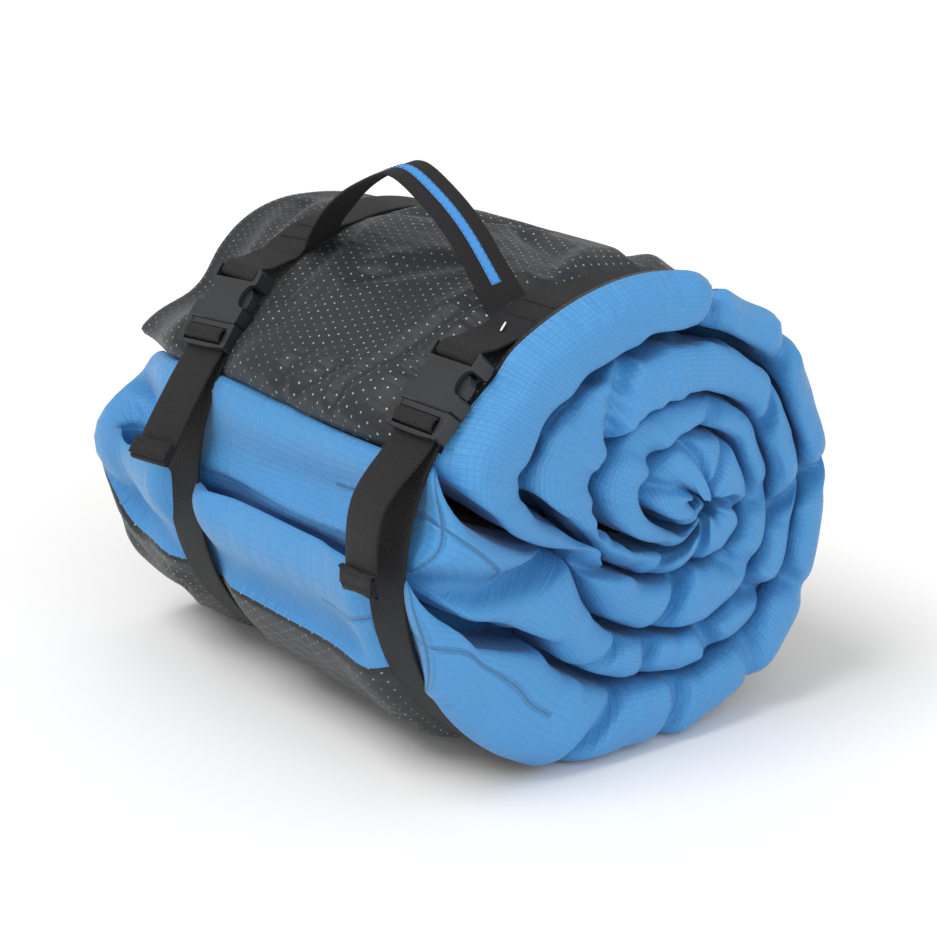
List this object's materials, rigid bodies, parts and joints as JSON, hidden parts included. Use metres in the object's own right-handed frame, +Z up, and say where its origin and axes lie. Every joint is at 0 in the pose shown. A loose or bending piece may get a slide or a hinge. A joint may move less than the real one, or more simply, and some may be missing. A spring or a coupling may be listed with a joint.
{
  "type": "rolled sleeping pad with carry straps",
  "caption": "Padded sleeping pad, folded and rolled, held by webbing straps with side-release buckles and an arched carry handle.",
  "frame": {"origin": "centre of the flat underside where the roll rests on the floor, below the roll's axis", "axes": "+X along the roll's axis towards the open edges of the folded mat, +Z up, -Y on the side where the buckles and the mat's outer end are"},
  "size_m": [0.3246, 0.3321, 0.3171],
  "materials": {
    "foam": "soft white fibre and foam padding",
    "blue_cover": "satin ripstop polyester",
    "blue_gusset": "satin ripstop polyester, gathered",
    "grey_cover": "coated polyester with small pale grip dots",
    "strap_webbing": "ribbed polypropylene webbing",
    "handle_webbing": "ribbed polypropylene webbing, narrower",
    "stripe_tape": "flat woven tape",
    "white_thread": "dense polyester thread",
    "black_thread": "dense polyester thread",
    "buckle_plastic": "finely textured acetal"
  },
  "bodies": {
    "roll": {"foam_core": "foam", "cover_top": "blue_cover", "cover_base": "grey_cover", "side_gusset": "blue_gusset", "near_strap": "strap_webbing", "far_strap": "strap_webbing", "near_buckle_socket": "buckle_plastic", "far_buckle_socket": "buckle_plastic", "handle_near_tab": "handle_webbing", "handle_far_tab": "handle_webbing", "handle_bartacks": "black_thread", "near_strap_bartack": "white_thread"},
    "handle": {"handle_webbing": "handle_webbing", "handle_stripe": "stripe_tape"},
    "near_plug": {"near_buckle_plug": "buckle_plastic", "near_strap_threaded": "strap_webbing"},
    "near_tail": {"near_strap_tail": "strap_webbing", "near_tail_hem": "strap_webbing", "near_hem_bartack": "black_thread"},
    "near_prong_front": {"near_prong_front": "buckle_plastic"},
    "near_prong_rear": {"near_prong_rear": "buckle_plastic"},
    "far_plug": {"far_buckle_plug": "buckle_plastic", "far_strap_threaded": "strap_webbing"},
    "far_tail": {"far_strap_tail": "strap_webbing", "far_tail_hem": "strap_webbing", "far_hem_bartack": "black_thread"},
    "far_prong_front": {"far_prong_front": "buckle_plastic"},
    "far_prong_rear": {"far_prong_rear": "buckle_plastic"}
  },
  "joints": [
    {"name": "near_plug_slide", "type": "slide", "parent": "roll", "child": "near_plug", "axis": [0.0234, -0.6692, -0.7427], "range_m": [0, 0.027], "stiffness_N_per_m": 150, "deforming": ["near_prong_front", "near_prong_rear"]},
    {"name": "near_front_squeeze", "type": "hinge", "parent": "near_plug", "child": "near_prong_front", "pos_m": [0.15439, -0.11875, 0.21448], "axis": [0, -0.7429, 0.6694], "range_deg": [0, 7]},
    {"name": "near_rear_squeeze", "type": "hinge", "parent": "near_plug", "child": "near_prong_rear", "pos_m": [0.12759, -0.11917, 0.21401], "axis": [0, -0.7429, 0.6694], "range_deg": [-7, 0]},
    {"name": "near_tail_lift", "type": "hinge", "parent": "near_plug", "child": "near_tail", "pos_m": [0.14141, -0.12982, 0.19981], "axis": [-0.9997, -0.0156, -0.0174], "range_deg": [-6, 70], "stiffness_Nm_per_rad": 0.03},
    {"name": "far_plug_slide", "type": "slide", "parent": "roll", "child": "far_plug", "axis": [0.1054, -0.6657, -0.7388], "range_m": [0, 0.027], "stiffness_N_per_m": 150, "deforming": ["far_prong_front", "far_prong_rear"]},
    {"name": "far_front_squeeze", "type": "hinge", "parent": "far_plug", "child": "far_prong_front", "pos_m": [-0.04358, -0.11801, 0.21529], "axis": [0, -0.7429, 0.6694], "range_deg": [0, 7]},
    {"name": "far_rear_squeeze", "type": "hinge", "parent": "far_plug", "child": "far_prong_rear", "pos_m": [-0.07022, -0.1199, 0.2132], "axis": [0, -0.7429, 0.6694], "range_deg": [-7, 0]},
    {"name": "far_tail_lift", "type": "hinge", "parent": "far_plug", "child": "far_tail", "pos_m": [-0.055, -0.12975, 0.19988], "axis": [-0.9944, -0.0706, -0.0783], "range_deg": [-6, 70], "stiffness_Nm_per_rad": 0.03},
    {"name": "handle_swing", "type": "hinge", "parent": "roll", "child": "handle", "pos_m": [0.03686, -0.05236, 0.25454], "axis": [1, 0, 0], "range_deg": [-60, 60], "stiffness_Nm_per_rad": 0.15, "deforming": ["handle_webbing", "handle_stripe"]}
  ],
  "couplings": [
    {"joint": "near_rear_squeeze", "follows": "near_front_squeeze", "ratio": -1},
    {"joint": "far_rear_squeeze", "follows": "far_front_squeeze", "ratio": -1}
  ]
}
